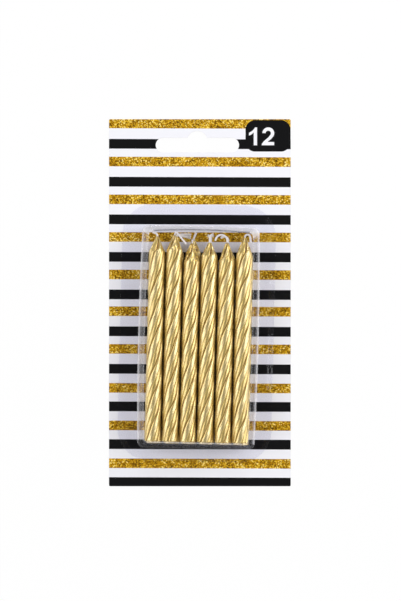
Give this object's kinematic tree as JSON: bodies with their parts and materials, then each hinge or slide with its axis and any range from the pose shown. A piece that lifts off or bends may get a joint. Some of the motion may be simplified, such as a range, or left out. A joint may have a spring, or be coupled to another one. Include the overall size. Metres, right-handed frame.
{
  "type": "carded candle pack",
  "caption": "Hang card with a clear blister holding rows of twisted gold birthday candles, each a wax rod with a cone and a cotton wick; the blister lifts and the candles slide.",
  "frame": {"origin": "middle of the card's back face, the pack lying on its back", "axes": "+X across the card to the right, +Y up the card to the hang slot, +Z out of the printed face"},
  "size_m": [0.0694, 0.1404, 0.0145],
  "materials": {
    "printed_card": "printed stripes, satin",
    "clear_film": "clear gloss",
    "gold_wax": "satin metallic gold lacquer on wax",
    "cotton_wick": "matt cotton"
  },
  "bodies": {
    "card": {"backing_card": "printed_card"},
    "blister": {"blister": "clear_film"},
    "candle_01": {"candle_01_wax": "gold_wax", "candle_01_wick": "cotton_wick"},
    "candle_02": {"candle_02_wax": "gold_wax", "candle_02_wick": "cotton_wick"},
    "candle_03": {"candle_03_wax": "gold_wax", "candle_03_wick": "cotton_wick"},
    "candle_04": {"candle_04_wax": "gold_wax", "candle_04_wick": "cotton_wick"},
    "candle_05": {"candle_05_wax": "gold_wax", "candle_05_wick": "cotton_wick"},
    "candle_06": {"candle_06_wax": "gold_wax", "candle_06_wick": "cotton_wick"},
    "candle_07": {"candle_07_wax": "gold_wax", "candle_07_wick": "cotton_wick"},
    "candle_08": {"candle_08_wax": "gold_wax", "candle_08_wick": "cotton_wick"},
    "candle_09": {"candle_09_wax": "gold_wax", "candle_09_wick": "cotton_wick"},
    "candle_10": {"candle_10_wax": "gold_wax", "candle_10_wick": "cotton_wick"},
    "candle_11": {"candle_11_wax": "gold_wax", "candle_11_wick": "cotton_wick"},
    "candle_12": {"candle_12_wax": "gold_wax", "candle_12_wick": "cotton_wick"}
  },
  "joints": [
    {"name": "blister_lift", "type": "hinge", "parent": "card", "child": "blister", "pos_m": [0.00003, 0.03747, 0.0008], "axis": [-0.9997, 0.0244, 0], "range_deg": [0, 100]},
    {"name": "candle_01_slide", "type": "slide", "parent": "card", "child": "candle_01", "axis": [0.0244, 0.9997, 0], "range_m": [0, 0.0006]},
    {"name": "candle_02_slide", "type": "slide", "parent": "card", "child": "candle_02", "axis": [0.0244, 0.9997, 0], "range_m": [0, 0.00065]},
    {"name": "candle_03_slide", "type": "slide", "parent": "card", "child": "candle_03", "axis": [0.0244, 0.9997, 0], "range_m": [0, 0.00311]},
    {"name": "candle_04_slide", "type": "slide", "parent": "card", "child": "candle_04", "axis": [0.0244, 0.9997, 0], "range_m": [0, 0.00108]},
    {"name": "candle_05_slide", "type": "slide", "parent": "card", "child": "candle_05", "axis": [0.0244, 0.9997, 0], "range_m": [0, 0.00105]},
    {"name": "candle_06_slide", "type": "slide", "parent": "card", "child": "candle_06", "axis": [0.0244, 0.9997, 0], "range_m": [0, 0.0007]},
    {"name": "candle_07_slide", "type": "slide", "parent": "card", "child": "candle_07", "axis": [0.0244, 0.9997, 0], "range_m": [0, 0.00318]},
    {"name": "candle_08_slide", "type": "slide", "parent": "card", "child": "candle_08", "axis": [0.0244, 0.9997, 0], "range_m": [0, 0.00184]},
    {"name": "candle_09_slide", "type": "slide", "parent": "card", "child": "candle_09", "axis": [0.0244, 0.9997, 0], "range_m": [0, 0.00075]},
    {"name": "candle_10_slide", "type": "slide", "parent": "card", "child": "candle_10", "axis": [0.0244, 0.9997, 0], "range_m": [0, 0.00167]},
    {"name": "candle_11_slide", "type": "slide", "parent": "card", "child": "candle_11", "axis": [0.0244, 0.9997, 0], "range_m": [0, 0.00204]},
    {"name": "candle_12_slide", "type": "slide", "parent": "card", "child": "candle_12", "axis": [0.0244, 0.9997, 0], "range_m": [0, 0.00288]}
  ]
}
